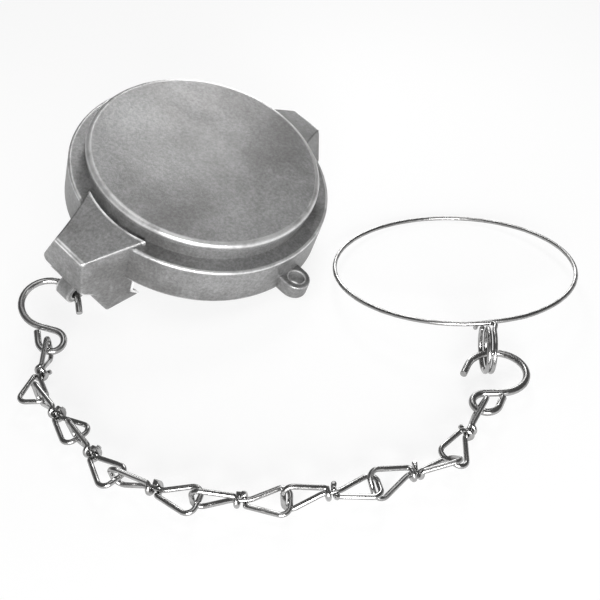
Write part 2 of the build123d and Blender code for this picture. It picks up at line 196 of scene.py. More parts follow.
@dataclass
class Wire:
    """A round wire that is bent as by hand: pushed straight, then turned round each corner."""

    name: str
    diameter: float
    sides: int = 20
    bend_step: float = 9.0
    end_bevel: float = 0.25
    smooth_angle: float = 40.0
    shortest_run: float = 0.02
    weld: float = 0.001

    def bend(self, corners: list[Vector], radii: list[float]) -> bpy.types.Object:
        """Bends the wire along its corners.

        Args:
            corners: the points that the straight runs meet at, in millimetres, ends included.
            radii: the bend radius at each corner between the two ends.

        Returns:
            The wire as a closed mesh object in its own frame, in millimetres.
        """
        deselect_all()
        heading = (corners[1] - corners[0]).normalized()
        bpy.ops.mesh.primitive_circle_add(
            vertices=self.sides, radius=self.diameter / 2, fill_type="NOTHING"
        )
        wire = bpy.context.object
        wire.name = self.name
        wire.data.name = self.name
        facing = heading.to_track_quat("Z", "Y").to_matrix().to_4x4()
        wire.data.transform(Matrix.Translation(corners[0]) @ facing)
        bpy.ops.object.mode_set(mode="EDIT")
        bpy.ops.mesh.select_all(action="SELECT")
        here = corners[0]
        for before, corner, after, radius in zip(corners, corners[1:-1], corners[2:], radii):
            back = (before - corner).normalized()
            ahead = (after - corner).normalized()
            turn = acos(max(-1.0, min(1.0, -back.dot(ahead))))
            start = corner + back * (radius * tan(turn / 2))
            self._push(start - here)
            centre = corner + (back + ahead).normalized() * (radius / cos(turn / 2))
            steps = max(1, round(turn / radians(self.bend_step)))
            self._turn(centre, back.cross(ahead).normalized(), turn, steps)
            here = corner + ahead * (radius * tan(turn / 2))
        self._push(corners[-1] - here)
        bpy.ops.object.mode_set(mode="OBJECT")
        self._close(wire)
        return wire

    def _push(self, run: Vector) -> None:
        """Extrudes the selected end ring straight on, where the run is long enough to matter."""
        if run.length > self.shortest_run:
            bpy.ops.mesh.extrude_region_move(TRANSFORM_OT_translate={"value": run})

    @staticmethod
    def _turn(centre: Vector, axis: Vector, angle: float, steps: int) -> None:
        """Spins the selected end ring round a bend; the operator turns clockwise about the axis."""
        bpy.ops.mesh.spin(steps=steps, angle=angle, center=centre, axis=axis, use_auto_merge=False)

    def _close(self, wire: bpy.types.Object) -> None:
        """Fills both ends, breaks their sharp edges and makes the normals face outwards.

        Args:
            wire: the bent wire, open at both ends.
        """
        bpy.ops.object.mode_set(mode="EDIT")
        bpy.ops.mesh.select_mode(type="EDGE")
        bpy.ops.mesh.select_all(action="SELECT")
        bpy.ops.mesh.remove_doubles(threshold=self.weld)
        bpy.ops.mesh.select_all(action="DESELECT")
        bpy.ops.mesh.select_non_manifold(extend=False, use_boundary=True, use_wire=False)
        bpy.ops.mesh.edge_face_add()
        bpy.ops.mesh.select_all(action="SELECT")
        bpy.ops.mesh.normals_make_consistent(inside=False)
        bpy.ops.object.mode_set(mode="OBJECT")
        ends = [face for face in wire.data.polygons if len(face.vertices) == self.sides]
        rims = {key for face in ends for key in face.edge_keys}
        for edge in wire.data.edges:
            edge.select = edge.key in rims
        bpy.ops.object.mode_set(mode="EDIT")
        bpy.ops.mesh.bevel(offset=self.end_bevel, segments=2, affect="EDGES")
        bpy.ops.object.mode_set(mode="OBJECT")
        bpy.ops.object.shade_smooth_by_angle(angle=radians(self.smooth_angle))


def copy_to(pattern: bpy.types.Object, name: str, matrix: Matrix) -> bpy.types.Object:
    """A copy of a piece with its own mesh, put in its place.

    Args:
        pattern: the piece to copy, in its own frame.
        name: the copy's name.
        matrix: the move to the row frame.

    Returns:
        The new object, at the origin, with its place in its mesh.
    """
    piece = pattern.copy()
    piece.data = pattern.data.copy()
    piece.name = name
    piece.data.name = name
    piece.data.transform(matrix)
    bpy.context.scene.collection.objects.link(piece)
    return piece


class Graph:
    """A node tree with short ways to add nodes and join them."""

    def __init__(self, tree: bpy.types.NodeTree) -> None:
        """Keeps the tree.

        Args:
            tree: the material's or the group's node tree.
        """
        self.tree = tree

    def add(self, kind: str, **settings: object) -> bpy.types.Node:
        """Adds a node.

        Args:
            kind: the node's type name.
            settings: properties of the node.

        Returns:
            The node.
        """
        node = self.tree.nodes.new(kind)
        for key, value in settings.items():
            setattr(node, key, value)
        return node

    def join(self, source: bpy.types.NodeSocket, target: bpy.types.NodeSocket) -> None:
        """Joins an output to an input."""
        self.tree.links.new(source, target)

    def math(
        self, operation: str, first: object, second: object = 0.0, clamp: bool = False
    ) -> bpy.types.NodeSocket:
        """Adds a Math node.

        Args:
            operation: its operation.
            first: a socket or a number.
            second: a socket or a number.
            clamp: whether the result is kept between 0 and 1.

        Returns:
            Its output.
        """
        node = self.add("ShaderNodeMath", operation=operation, use_clamp=clamp)
        for socket, value in zip(node.inputs, (first, second)):
            self.feed(value, socket)
        return node.outputs[0]

    def feed(self, value: object, socket: bpy.types.NodeSocket) -> None:
        """Joins a socket to an input, or writes a plain value on it.

        Args:
            value: an output socket, a number or a colour.
            socket: the input.
        """
        if isinstance(value, bpy.types.NodeSocket):
            self.join(value, socket)
        else:
            socket.default_value = value

    def noise(
        self, vector: object, scale: float, detail: float = 4.0, rough: float = 0.5
    ) -> bpy.types.NodeSocket:
        """Adds a Noise texture.

        Args:
            vector: the coordinates' socket.
            scale: its scale in cycles a metre.
            detail: its octaves.
            rough: how strong the small octaves are.

        Returns:
            Its factor output.
        """
        node = self.add("ShaderNodeTexNoise")
        self.feed(vector, node.inputs["Vector"])
        node.inputs["Scale"].default_value = scale
        node.inputs["Detail"].default_value = detail
        node.inputs["Roughness"].default_value = rough
        return node.outputs["Fac"]

    def window(
        self, value: object, low: float, high: float, to_low: float = 0.0, to_high: float = 1.0
    ) -> bpy.types.NodeSocket:
        """Maps a range smoothly to another and keeps it inside.

        Args:
            value: the value's socket.
            low: where the range starts.
            high: where it ends.
            to_low: the result at its start.
            to_high: the result at its end.

        Returns:
            The mapped value's output.
        """
        node = self.add("ShaderNodeMapRange", interpolation_type="SMOOTHSTEP")
        self.feed(value, node.inputs["Value"])
        ends = {"From Min": low, "From Max": high, "To Min": to_low, "To Max": to_high}
        for name, number in ends.items():
            node.inputs[name].default_value = number
        return node.outputs["Result"]

    def blend(
        self, factor: object, first: object, second: object, mode: str = "MIX"
    ) -> bpy.types.NodeSocket:
        """Mixes two colours.

        Args:
            factor: a socket or a number.
            first: a socket or a colour.
            second: a socket or a colour.
            mode: the blend type.

        Returns:
            The mixed colour's output.
        """
        node = self.add("ShaderNodeMix", data_type="RGBA", blend_type=mode)
        self.feed(factor, node.inputs[MIX_FACTOR])
        self.feed(first, node.inputs[MIX_FIRST])
        self.feed(second, node.inputs[MIX_SECOND])
        return node.outputs[MIX_RESULT]

    def bump(self, height: object, strength: float) -> bpy.types.NodeSocket:
        """Adds a Bump node whose height is in metres.

        Args:
            height: the height's socket.
            strength: how much of it shows.

        Returns:
            The bent normal's output.
        """
        node = self.add("ShaderNodeBump")
        node.inputs["Strength"].default_value = strength
        node.inputs["Distance"].default_value = 1.0
        self.feed(height, node.inputs["Height"])
        return node.outputs["Normal"]


def grey(level: float, warmth: float = 0.0) -> tuple[float, float, float, float]:
    """A grey with a touch of warmth, as a colour with alpha."""
    return (level * (1 + warmth), level, level * (1 - warmth), 1.0)


class EdgeWear:
    """The node group that finds the outer edges that wear, where the metal behind the surface is thin.
    """

    NAME = "worn_edges"
    FLAT_LOSS = 0.12
    PATCH_DETAIL = 3.0

    @classmethod
    def tree(cls) -> bpy.types.NodeTree:
        """The group's tree, built the first time it is asked for.

        Returns:
            The tree.
        """
        if cls.NAME in bpy.data.node_groups:
            return bpy.data.node_groups[cls.NAME]
        tree = bpy.data.node_groups.new(cls.NAME, "ShaderNodeTree")
        for name in ("Reach", "Gain", "Scale"):
            tree.interface.new_socket(name=name, in_out="INPUT", socket_type="NodeSocketFloat")
        tree.interface.new_socket(name="Mask", in_out="OUTPUT", socket_type="NodeSocketFloat")
        graph = Graph(tree)
        source = graph.add("NodeGroupInput")
        sink = graph.add("NodeGroupOutput")
        inward = graph.add("ShaderNodeAmbientOcclusion", inside=True, only_local=True, samples=8)
        graph.join(source.outputs["Reach"], inward.inputs["Distance"])
        thin = graph.math("SUBTRACT", 1.0, inward.outputs["AO"])
        thin = graph.math("SUBTRACT", thin, cls.FLAT_LOSS, clamp=True)
        strong = graph.math("MULTIPLY", thin, source.outputs["Gain"], clamp=True)
        spots = graph.add("ShaderNodeTexCoord")
        noise = graph.add("ShaderNodeTexNoise")
        graph.join(spots.outputs["Object"], noise.inputs["Vector"])
        graph.join(source.outputs["Scale"], noise.inputs["Scale"])
        noise.inputs["Detail"].default_value = cls.PATCH_DETAIL
        patchy = graph.window(noise.outputs["Fac"], 0.35, 0.62, to_low=0.2)
        graph.join(graph.math("MULTIPLY", strong, patchy, clamp=True), sink.inputs["Mask"])
        return tree

    @classmethod
    def place(cls, graph: Graph, reach: float, gain: float, scale: float) -> bpy.types.NodeSocket:
        """Places the group in a material.

        Args:
            graph: the material's graph.
            reach: how wide the band of wear along an edge is, in metres.
            gain: how fast it comes to full wear.
            scale: the scale of its patches, in cycles a metre.

        Returns:
            The mask's output.
        """
        node = graph.add("ShaderNodeGroup")
        node.node_tree = cls.tree()
        node.inputs["Reach"].default_value = reach
        node.inputs["Gain"].default_value = gain
        node.inputs["Scale"].default_value = scale
        return node.outputs["Mask"]


def new_material(name: str) -> tuple[bpy.types.Material, Graph, bpy.types.Node]:
    """A new node material.

    Args:
        name: its name.

    Returns:
        The material, its graph and its Principled shader.
    """
    material = bpy.data.materials.new(name)
    material.use_nodes = True
    return material, Graph(material.node_tree), material.node_tree.nodes["Principled BSDF"]


@dataclass(frozen=True)
class RimWearAndHighlight:
    """An edge line of the casting, partly polished by wear and partly a painted highlight, at a distance
    and a height in the cap's frame.
    """

    radius: float
    height: float
    width: float
    strength: float
    crosses_lugs: bool = True
    core_share: float = 0.45

    def mask(self, graph: Graph, radial: object, height: object, breaks: object) -> bpy.types.NodeSocket:
        """How bright the rim line is here, as wear and painted highlight together.

        Args:
            graph: the material's graph.
            radial: the distance from the cap's axis or middle plane, in metres.
            height: the height over the rim's plane, in metres.
            breaks: a patchy value between 0 and 1 that breaks the line up.

        Returns:
            The mask's output.
        """
        out = graph.math("SUBTRACT", radial, self.radius * MM)
        up = graph.math("SUBTRACT", height, self.height * MM)
        square = graph.math("ADD", graph.math("MULTIPLY", out, out), graph.math("MULTIPLY", up, up))
        far = graph.math("SQRT", square)
        line = graph.window(far, self.width * MM * self.core_share, self.width * MM, self.strength, 0.0)
        return graph.math("MULTIPLY", line, breaks, clamp=True)


@dataclass(frozen=True)
class CastAluminium:
    """Dull grey cast aluminium, mottled, with bright edges: rubbed wear, and rim lines that are partly
    wear and partly painted highlight.
    """

    place: Place
    dark: float = 0.155
    light: float = 0.29
    # edge: near-white bare metal for edge wear, also used for the rim lines that are partly painted
    # highlight.
    edge: float = 0.93
    metallic: float = 0.7
    smoothest: float = 0.38
    roughest: float = 0.5
    edge_polish: float = 0.16
    broad_scale: float = 16.0
    middle_scale: float = 75.0
    fine_scale: float = 700.0
    fine_height: float = 0.00012
    middle_height: float = 0.0003
    grain_strength: float = 0.6
    wear_reach: float = 0.0014
    wear_gain: float = 3.5
    wear_scale: float = 90.0
    broad_share: float = 0.6
    lug_half: float = 17.5
    # The rim lines below are partly wear-polished metal and partly painted highlight where the fillets
    # catch light.
    lug_tips: RimWearAndHighlight = RimWearAndHighlight(radius=80.8, height=15.4, width=1.7, strength=0.9)
    rims: tuple[RimWearAndHighlight, ...] = (
        RimWearAndHighlight(radius=54.9, height=30.2, width=2.0, strength=0.65),
        RimWearAndHighlight(radius=62.6, height=20.3, width=1.3, strength=0.75, crosses_lugs=False),
        RimWearAndHighlight(radius=62.8, height=0.3, width=1.0, strength=0.3, crosses_lugs=False),
    )

    def build(self) -> bpy.types.Material:
        """Builds the finish.

        Returns:
            The material.
        """
        material, graph, shader = new_material(Slot.CASTING.value)
        coords = graph.add("ShaderNodeTexCoord").outputs["Object"]
        own = graph.add("ShaderNodeMapping", vector_type="TEXTURE")
        graph.join(coords, own.inputs["Vector"])
        own.inputs["Location"].default_value = self.place.origin * MM
        own.inputs["Rotation"].default_value = self.place.turn().to_euler()
        spot = own.outputs["Vector"]
        broad = graph.noise(spot, self.broad_scale, detail=2.0, rough=0.5)
        middle = graph.noise(spot, self.middle_scale, detail=6.0, rough=0.68)
        fine = graph.noise(spot, self.fine_scale, detail=5.0, rough=0.75)
        wide = graph.math("MULTIPLY", broad, self.broad_share)
        close = graph.math("MULTIPLY", middle, 1 - self.broad_share)
        tone = graph.window(graph.math("ADD", wide, close), 0.38, 0.62)
        body = graph.blend(tone, grey(self.dark, 0.01), grey(self.light, 0.0))
        speck = graph.add("ShaderNodeCombineColor")
        for socket in speck.inputs[:3]:
            graph.join(graph.window(fine, 0.3, 0.72, to_low=0.72, to_high=1.22), socket)
        body = graph.blend(1.0, body, speck.outputs["Color"], "MULTIPLY")
        edges = EdgeWear.place(graph, self.wear_reach, self.wear_gain, self.wear_scale)
        # Edge wear from the thin-metal mask, joined with the rim lines, which are partly painted
        # highlight.
        wear_and_highlight = graph.math("MAXIMUM", edges, self._rim_wear_and_highlight(graph, spot, middle))
        graph.join(graph.blend(wear_and_highlight, body, grey(self.edge)), shader.inputs["Base Color"])
        shader.inputs["Metallic"].default_value = self.metallic
        rough = graph.window(middle, 0.3, 0.7, to_low=self.smoothest, to_high=self.roughest)
        rough = graph.math("SUBTRACT", rough, graph.math("MULTIPLY", wear_and_highlight, self.edge_polish))
        graph.join(rough, shader.inputs["Roughness"])
        pits = graph.math("MULTIPLY", fine, self.fine_height)
        grain = graph.math("ADD", pits, graph.math("MULTIPLY", middle, self.middle_height))
        graph.join(graph.bump(grain, self.grain_strength), shader.inputs["Normal"])
        return material

    def _rim_wear_and_highlight(self, graph: Graph, spot: object, patchy: object) -> bpy.types.NodeSocket:
        """The mask of every rim line, each partly rubbed wear and partly painted highlight.

        Args:
            graph: the material's graph.
            spot: the place in the cap's own frame.
            patchy: a noise that breaks the lines up.

        Returns:
            The mask's output.
        """
        parts = graph.add("ShaderNodeSeparateXYZ")
        graph.join(spot, parts.inputs[0])
        across = graph.math("MULTIPLY", parts.outputs["X"], parts.outputs["X"])
        along = graph.math("MULTIPLY", parts.outputs["Y"], parts.outputs["Y"])
        radial = graph.math("SQRT", graph.math("ADD", across, along))
        breaks = graph.window(patchy, 0.32, 0.6, to_low=0.4)
        beside = graph.math("ABSOLUTE", parts.outputs["Y"])
        clear = graph.window(beside, self.lug_half * MM, (self.lug_half + 1) * MM)
        off_lugs = graph.math("MULTIPLY", breaks, clear)
        lengthways = graph.math("ABSOLUTE", parts.outputs["X"])
        mask: object = self.lug_tips.mask(graph, lengthways, parts.outputs["Z"], breaks)
        for rim in self.rims:
            here = breaks if rim.crosses_lugs else off_lugs
            mask = graph.math("MAXIMUM", rim.mask(graph, radial, parts.outputs["Z"], here), mask)
        return mask


@dataclass(frozen=True)
class SealRubber:
    """Matte black rubber with a little bloom."""

    black: float = 0.012
    bloomed: float = 0.035
    smoothest: float = 0.5
    roughest: float = 0.72
    bloom_scale: float = 120.0
    grain_scale: float = 1500.0
    grain_height: float = 0.00004
    grain_strength: float = 0.3

    def build(self) -> bpy.types.Material:
        """Builds the finish.

        Returns:
            The material.
        """
        material, graph, shader = new_material(Slot.SEAL.value)
        coords = graph.add("ShaderNodeTexCoord").outputs["Object"]
        cloud = graph.noise(coords, self.bloom_scale, detail=5.0, rough=0.6)
        bloom = graph.window(cloud, 0.4, 0.75)
        body = graph.blend(bloom, grey(self.black), grey(self.bloomed, 0.03))
        graph.join(body, shader.inputs["Base Color"])
        rough = graph.window(bloom, 0.0, 1.0, to_low=self.smoothest, to_high=self.roughest)
        graph.join(rough, shader.inputs["Roughness"])
        grain = graph.noise(coords, self.grain_scale, detail=3.0)
        grain = graph.math("MULTIPLY", grain, self.grain_height)
        graph.join(graph.bump(grain, self.grain_strength), shader.inputs["Normal"])
        return material


@dataclass(frozen=True)
class PlatedWire:
    """Bright plated steel wire with a few dull patches."""

    name: str
    bright: float
    dull: float
    polish: float
    dulling: float = 0.14
    patch_scale: float = 140.0
    grain_scale: float = 2200.0
    grain_height: float = 0.00002
    grain_strength: float = 0.12

    def build(self) -> bpy.types.Material:
        """Builds the finish.

        Returns:
            The material.
        """
        material, graph, shader = new_material(self.name)
        coords = graph.add("ShaderNodeTexCoord").outputs["Object"]
        cloud = graph.noise(coords, self.patch_scale, detail=3.0, rough=0.5)
        patches = graph.window(cloud, 0.42, 0.66)
        plating = graph.blend(patches, grey(self.bright, 0.004), grey(self.dull, 0.01))
        graph.join(plating, shader.inputs["Base Color"])
        shader.inputs["Metallic"].default_value = 1.0
        dullest = self.polish + self.dulling
        rough = graph.window(patches, 0.0, 1.0, to_low=self.polish, to_high=dullest)
        graph.join(rough, shader.inputs["Roughness"])
        grain = graph.noise(coords, self.grain_scale, detail=3.0, rough=0.6)
        grain = graph.math("MULTIPLY", grain, self.grain_height)
        graph.join(graph.bump(grain, self.grain_strength), shader.inputs["Normal"])
        return material


def dress(piece: bpy.types.Object, material: bpy.types.Material) -> None:
    """Gives a piece one material in all its slots.

    Args:
        piece: the piece.
        material: its finish.
    """
    if not piece.material_slots:
        piece.data.materials.append(material)
    for slot in piece.material_slots:
        slot.material = material


@dataclass
class Cap:
    """The casting and its seal, which keep their CAD shape and get their finish."""

    nodes: dict[str, bpy.types.Object]
    marks: Marks
    disc_height: float = 31.0

    def place(self) -> Place:
        """The casting's own frame, square to its disc and to the bore in the free lug.

        Returns:
            Its place: the middle of the rim's foot, X through the lugs and Z up through the disc.
        """
        up = self.marks.mount_way("disc_face")
        foot = self.marks.mount("disc_face") - up * self.disc_height
        return Place(foot, self.marks.mount_way("free_lug_eye").cross(up), up)

    def build(self) -> None:
        """Dresses both nodes."""
        dress(self.nodes["cap_body"], CastAluminium(self.place()).build())
        dress(self.nodes["sealing_ring"], SealRubber().build())


@dataclass
class KnottedLink:
    """A link bent from one wire: two loops at right angles, both ends wound round the neck."""

    wire: float = 2.1
    length: float = 35.6
    half: float = 6.8
    corner_r: float = 3.2
    neck_half: float = 3.2
    neck_bend_r: float = 6.0
    wrap_start: float = 1.8
    wrap_pitch: float = 1.0
    wrap_corners: int = 5
    wrap_step: float = 60.0
    wrap_entry_r: float = 1.3
    wrap_tail: float = 1.7
    contact_gap: float = 0.2

    def coil_r(self) -> float:
        """The radius of the wound wire's middle line."""
        return self.wire + self.contact_gap / 2

    def wrap(self, side: Side, start_angle: float) -> list[Vector]:
        """The corners of one wire end, wound round the neck.

        Args:
            side: the end of the link that the wire comes from.
            start_angle: where the winding starts, in degrees about the neck.

        Returns:
            Its corners, the free end last.
        """
        reach = self.coil_r() / cos(radians(self.wrap_step / 2))
        rise = self.wrap_pitch * self.wrap_step / FULL_TURN
        corners = []
        for k in range(self.wrap_corners):
            along = side.value * (self.wrap_start - rise * k)
            corners.append(about_axis(along, reach, start_angle + self.wrap_step * k))
        corners[-1] += (corners[-1] - corners[-2]).normalized() * self.wrap_tail
        return corners

    def build(self) -> bpy.types.Object:
        """Bends the link.

        Returns:
            The link in its own frame.
        """
        end = self.length / 2
        near = self.wrap(Side.NEAR, 0.0)
        far = self.wrap(Side.FAR, 90.0)
        corners = near[::-1] + [
            Vector((-end, self.half, 0.0)),
            Vector((-end, -self.half, 0.0)),
            Vector((-self.neck_half, 0.0, 0.0)),
            Vector((self.neck_half, 0.0, 0.0)),
            Vector((end, 0.0, -self.half)),
            Vector((end, 0.0, self.half)),
        ] + far
        wound = [self.coil_r()] * (self.wrap_corners - 2)
        entered = wound + [self.wrap_entry_r] + [self.corner_r] * 2
        radii = entered + [self.neck_bend_r] * 2 + entered[::-1]
        return Wire("link_pattern", self.wire).bend(corners, radii)


@dataclass
class SHook:
    """An open S of round wire with a big and a small loop."""

    wire: float = 3.0
    big_r: float = 12.3
    small_r: float = 5.4
    centres: float = 19.2
    big_end: float = 6.0
    small_end: float = 5.5
    end_flare: float = 4.0
    step: float = 30.0
    big_bend_share: float = 0.98
    small_bend_share: float = 0.96

    def arc(self, centre: Vector, radius: float, start: float, end: float) -> list[Vector]:
        """Corners of the chords round an arc.

        Args:
            centre: the arc's centre.
            radius: its radius.
            start: its first angle in degrees.
            end: its last angle in degrees.

        Returns:
            The corners, which lie a little outside the arc.
        """
        chords = max(1, round(abs(end - start) / self.step))
        swing = (end - start) / chords
        reach = radius / cos(radians(swing / 2))
        return [centre + polar(reach, start + swing * (k + 0.5)) for k in range(chords)]

    def build(self) -> bpy.types.Object:
        """Bends the hook.

        Returns:
            The hook in its own frame, its big loop at the origin and its small loop along X.
        """
        lean = degrees(acos((self.big_r + self.small_r) / self.centres))
        small = Vector((self.centres, 0.0, 0.0))
        flare = sin(radians(self.end_flare))
        big_arc = self.arc(Vector((0.0, 0.0, 0.0)), self.big_r, -90.0, lean - FULL_TURN)
        small_arc = self.arc(small, self.small_r, FULL_TURN / 2 + lean, FULL_TURN + 90.0)
        corners = [polar(self.big_r, -90) + Vector((self.big_end, -self.big_end * flare, 0.0))]
        corners += big_arc + small_arc
        small_tail = Vector((-self.small_end, self.small_end * flare, 0.0))
        corners.append(small + polar(self.small_r, 90) + small_tail)
        radii = [self.big_r * self.big_bend_share] * len(big_arc)
        radii += [self.small_r * self.small_bend_share] * len(small_arc)
        return Wire("hook_pattern", self.wire, sides=24).bend(corners, radii)


@dataclass
class Hooks:
    """Both S-hooks."""

    marks: Marks
    hook: SHook
    finish: PlatedWire = PlatedWire(Slot.HOOK.value, bright=0.45, dull=0.31, polish=0.2)
    cap_bearing: float = 143.0
    ring_heading: float = 247.0
    catch_angle: float = 217.5
    cradle_angle: float = 102.0

    def at_cap(self) -> Place:
        """The hook in the lug's eye, flat to the eye's bore and to the wire that link 1 hangs on.

        Returns:
            Its place.
        """
        along = -self.marks.mount_way("free_lug_eye")
        face = along.cross(self.marks.pivot_way("link_1")).normalized()
        down = face if face.z < 0 else -face
        ahead = along.cross(down)
        bearing = radians(self.cap_bearing)
        aim = along * cos(bearing) + ahead * sin(bearing)
        return Place(self.marks.pivot("cap_hook") + ahead * self.hook.big_r, aim, down)

    def at_ring(self) -> Place:
        """The hook between the last link and the ring, through both of their pivots.

        Returns:
            Its place.
        """
        small = Vector((self.hook.centres, 0.0, 0.0))
        catch = small + polar(self.hook.small_r, self.catch_angle - self.ring_heading)
        cradle = polar(self.hook.big_r, self.cradle_angle - self.ring_heading)
        side = polar(1.0, self.ring_heading + 90)
        caught = self.marks.pivot("ring_hook")
        run = self.marks.pivot("ring") - caught - side * (cradle.y - catch.y)
        aim = run / (cradle.x - catch.x)
        return Place(caught - aim * catch.x - side * catch.y, aim, aim.cross(side))

    def build(self) -> None:
        """Bends one hook and lays both copies."""
        pattern = self.hook.build()
        material = self.finish.build()
        rows = (
            ("hook_wire_cap", self.at_cap(), "cap_hook", "s_hook_cap"),
            ("hook_wire_ring", self.at_ring(), "ring_hook", "s_hook_ring"),
        )
        for name, place, body, node in rows:
            piece = copy_to(pattern, name, place.matrix())
            dress(piece, material)
            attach(piece, body)
            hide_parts(node)
            LOG.info("laid %s", name)
        bpy.data.objects.remove(pattern)


@dataclass
class Chain:
    """The eight links, each a copy of one pattern."""

    marks: Marks
    link: KnottedLink
    hook: SHook
    finish: PlatedWire = PlatedWire(Slot.CHAIN.value, bright=0.47, dull=0.32, polish=0.19)
    hook_slack: float = 0.5
    catch_drop: float = 1.0
    lays: tuple[LinkLay, ...] = (
        LinkLay(heading=-90.0, roll=90.0),
        LinkLay(heading=-50.0, roll=95.0),
        LinkLay(heading=-52.0, roll=100.0),
        LinkLay(heading=-22.0, roll=104.0),
        LinkLay(heading=-2.5, roll=102.0),
        LinkLay(heading=10.5, roll=86.0),
        LinkLay(heading=22.5, roll=50.0),
        LinkLay(heading=62.0, roll=20.0),
    )

    def far_end(self, number: int) -> Vector:
        """The middle of a link's far bar, which the next link swings on.

        Args:
            number: the link's number, from 1.

        Returns:
            The point in millimetres.
        """
        if number < len(self.lays):
            return self.marks.pivot(f"link_{number + 1}")
        return self.last_end()

    def last_end(self) -> Vector:
        """The middle of the last link's far bar, a reach past the hook's wire and a little over it.

        Returns:
            The point in millimetres.
        """
        caught = self.marks.pivot("ring_hook")
        wire = self.marks.pivot_way("ring_hook")
        flat = Vector((wire.x, wire.y, 0.0))
        last = self.lays[-1].place(caught, self.link.length)
        way = last.z_dir.cross(flat).normalized()
        if way.dot(last.x_dir) < 0:
            way = -way
        reach = (self.hook.wire + self.link.wire) / 2 + self.link.contact_gap + self.hook_slack
        past = way * reach
        return caught + Vector((past.x, past.y, self.catch_drop))

    def build(self) -> None:
        """Bends one link and lays its copies."""
        pattern = self.link.build()
        material = self.finish.build()
        for number, lay in enumerate(self.lays, 1):
            place = lay.place(self.far_end(number), self.link.length)
            piece = copy_to(pattern, f"link_wire_{number}", place.matrix())
            dress(piece, material)
            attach(piece, f"link_{number}")
            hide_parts(f"chain_link_{number}")
            LOG.info("laid %s", piece.name)
        bpy.data.objects.remove(pattern)


@dataclass
class RetainingRing:
    """The spring wire ring, one end wound to an eye of two turns and the other hooked behind it."""

    marks: Marks
    hook: SHook
    finish: PlatedWire = PlatedWire(Slot.RING.value, bright=0.43, dull=0.31, polish=0.22)
    wire: float = 2.0
    ring_r: float = 56.5
    ring_step: float = 10.0
    coil_r: float = 9.2
    coil_turns: int = 2
    coil_pitch: float = 2.3
    coil_step: float = 24.0
    coil_bend_r: float = 2.0
    coil_exit_set: float = 1.4
    coil_lead: float = 28.0
    coil_in: float = 48.0
    coil_out: float = 36.0
    hook_tail: float = 22.0
    ring_yaw: float = 9.0
    contact_gap: float = 0.2
    ring_bend_share: float = 0.96
    coil_bend_share: float = 0.95
    coil_heading: float = 87.0
    coil_play: float = 0.8
    hook_angle: float = 305.0

    def place(self) -> Place:
        """The coil's place: the hook's wire lies low inside it, where the ring swings.

        Returns:
            The place of its middle, X along its axis.
        """
        hook_r = self.coil_r - (self.wire + self.hook.wire) / 2 - self.coil_play
        across = polar(hook_r, self.hook_angle)
        middle = self.marks.pivot("ring") - polar(across.x, self.coil_heading) - UP * across.y
        return Place(middle, polar(1.0, self.coil_heading - 90), UP)

    def corners(self) -> tuple[list[Vector], list[float]]:
        """The wire's route about its coil.

        Returns:
            Its corners in millimetres, and the bend radius at each.
        """
        coil_reach = self.coil_r / cos(radians(self.coil_step / 2))
        outside = coil_reach + self.wire + self.contact_gap
        middle = about_axis(0.0, outside, (self.coil_in + self.coil_out) / 2)
        big_reach = self.ring_r / cos(radians(self.ring_step / 2))
        tilt = asin((middle.z + coil_reach) / (self.ring_r + big_reach))
        yaw = Matrix.Rotation(radians(self.ring_yaw), 3, "Z")
        spoke = yaw @ Vector((0.0, cos(tilt), -sin(tilt)))
        across = yaw @ Vector((1.0, 0.0, 0.0))
        hub = middle + spoke * self.ring_r
        half = self.coil_pitch * self.coil_turns / 2
        tail_x = -half - self.wire
        path = [
            about_axis(tail_x, outside, self.coil_out - self.hook_tail),
            about_axis(tail_x, outside, self.coil_out),
        ]
        steps = round(FULL_TURN / self.ring_step)
        for k in range(1, steps):
            turn = radians(k * FULL_TURN / steps)
            path.append(hub + (across * sin(turn) - spoke * cos(turn)) * big_reach)
        path.append(about_axis(half + self.coil_exit_set, outside, self.coil_in))
        chords = round(self.coil_turns * FULL_TURN / self.coil_step)
        for k in range(chords):
            turn = self.coil_lead + k * self.coil_step
            along = half - self.coil_pitch * turn / FULL_TURN
            path.append(about_axis(along, coil_reach, self.coil_in + turn))
        ring_bend = self.ring_r * self.ring_bend_share
        radii = [self.coil_bend_r] + [ring_bend] * (steps - 1) + [self.coil_bend_r]
        radii += [self.coil_r * self.coil_bend_share] * (chords - 1)
        return path, radii

    def build(self) -> None:
        """Bends the ring and lays it."""
        path, radii = self.corners()
        pattern = Wire("ring_pattern", self.wire, sides=20, bend_step=4.0).bend(path, radii)
        ring = copy_to(pattern, "ring_spring", self.place().matrix())
        bpy.data.objects.remove(pattern)
        dress(ring, self.finish.build())
        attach(ring, "ring")
        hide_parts("retaining_ring")
        LOG.info("laid %s", ring.name)


@dataclass(frozen=True)
class SoftBox:
    """A square lamp that points at the object."""

    name: str
    spot: tuple[float, float, float]
    size: float
    power: float
    aim: tuple[float, float, float] = (0.0, 0.0, 0.02)

    def hang(self) -> None:
        """Hangs the lamp, unseen by the camera."""
        data = bpy.data.lights.new(self.name, "AREA")
        data.shape = "SQUARE"
        data.size = self.size
        data.energy = self.power
        lamp = bpy.data.objects.new(self.name, data)
        lamp.location = self.spot
        lamp.visible_camera = False
        way = Vector(self.aim) - Vector(self.spot)
        lamp.rotation_euler = way.to_track_quat("-Z", "Y").to_euler()
        bpy.context.scene.collection.objects.link(lamp)


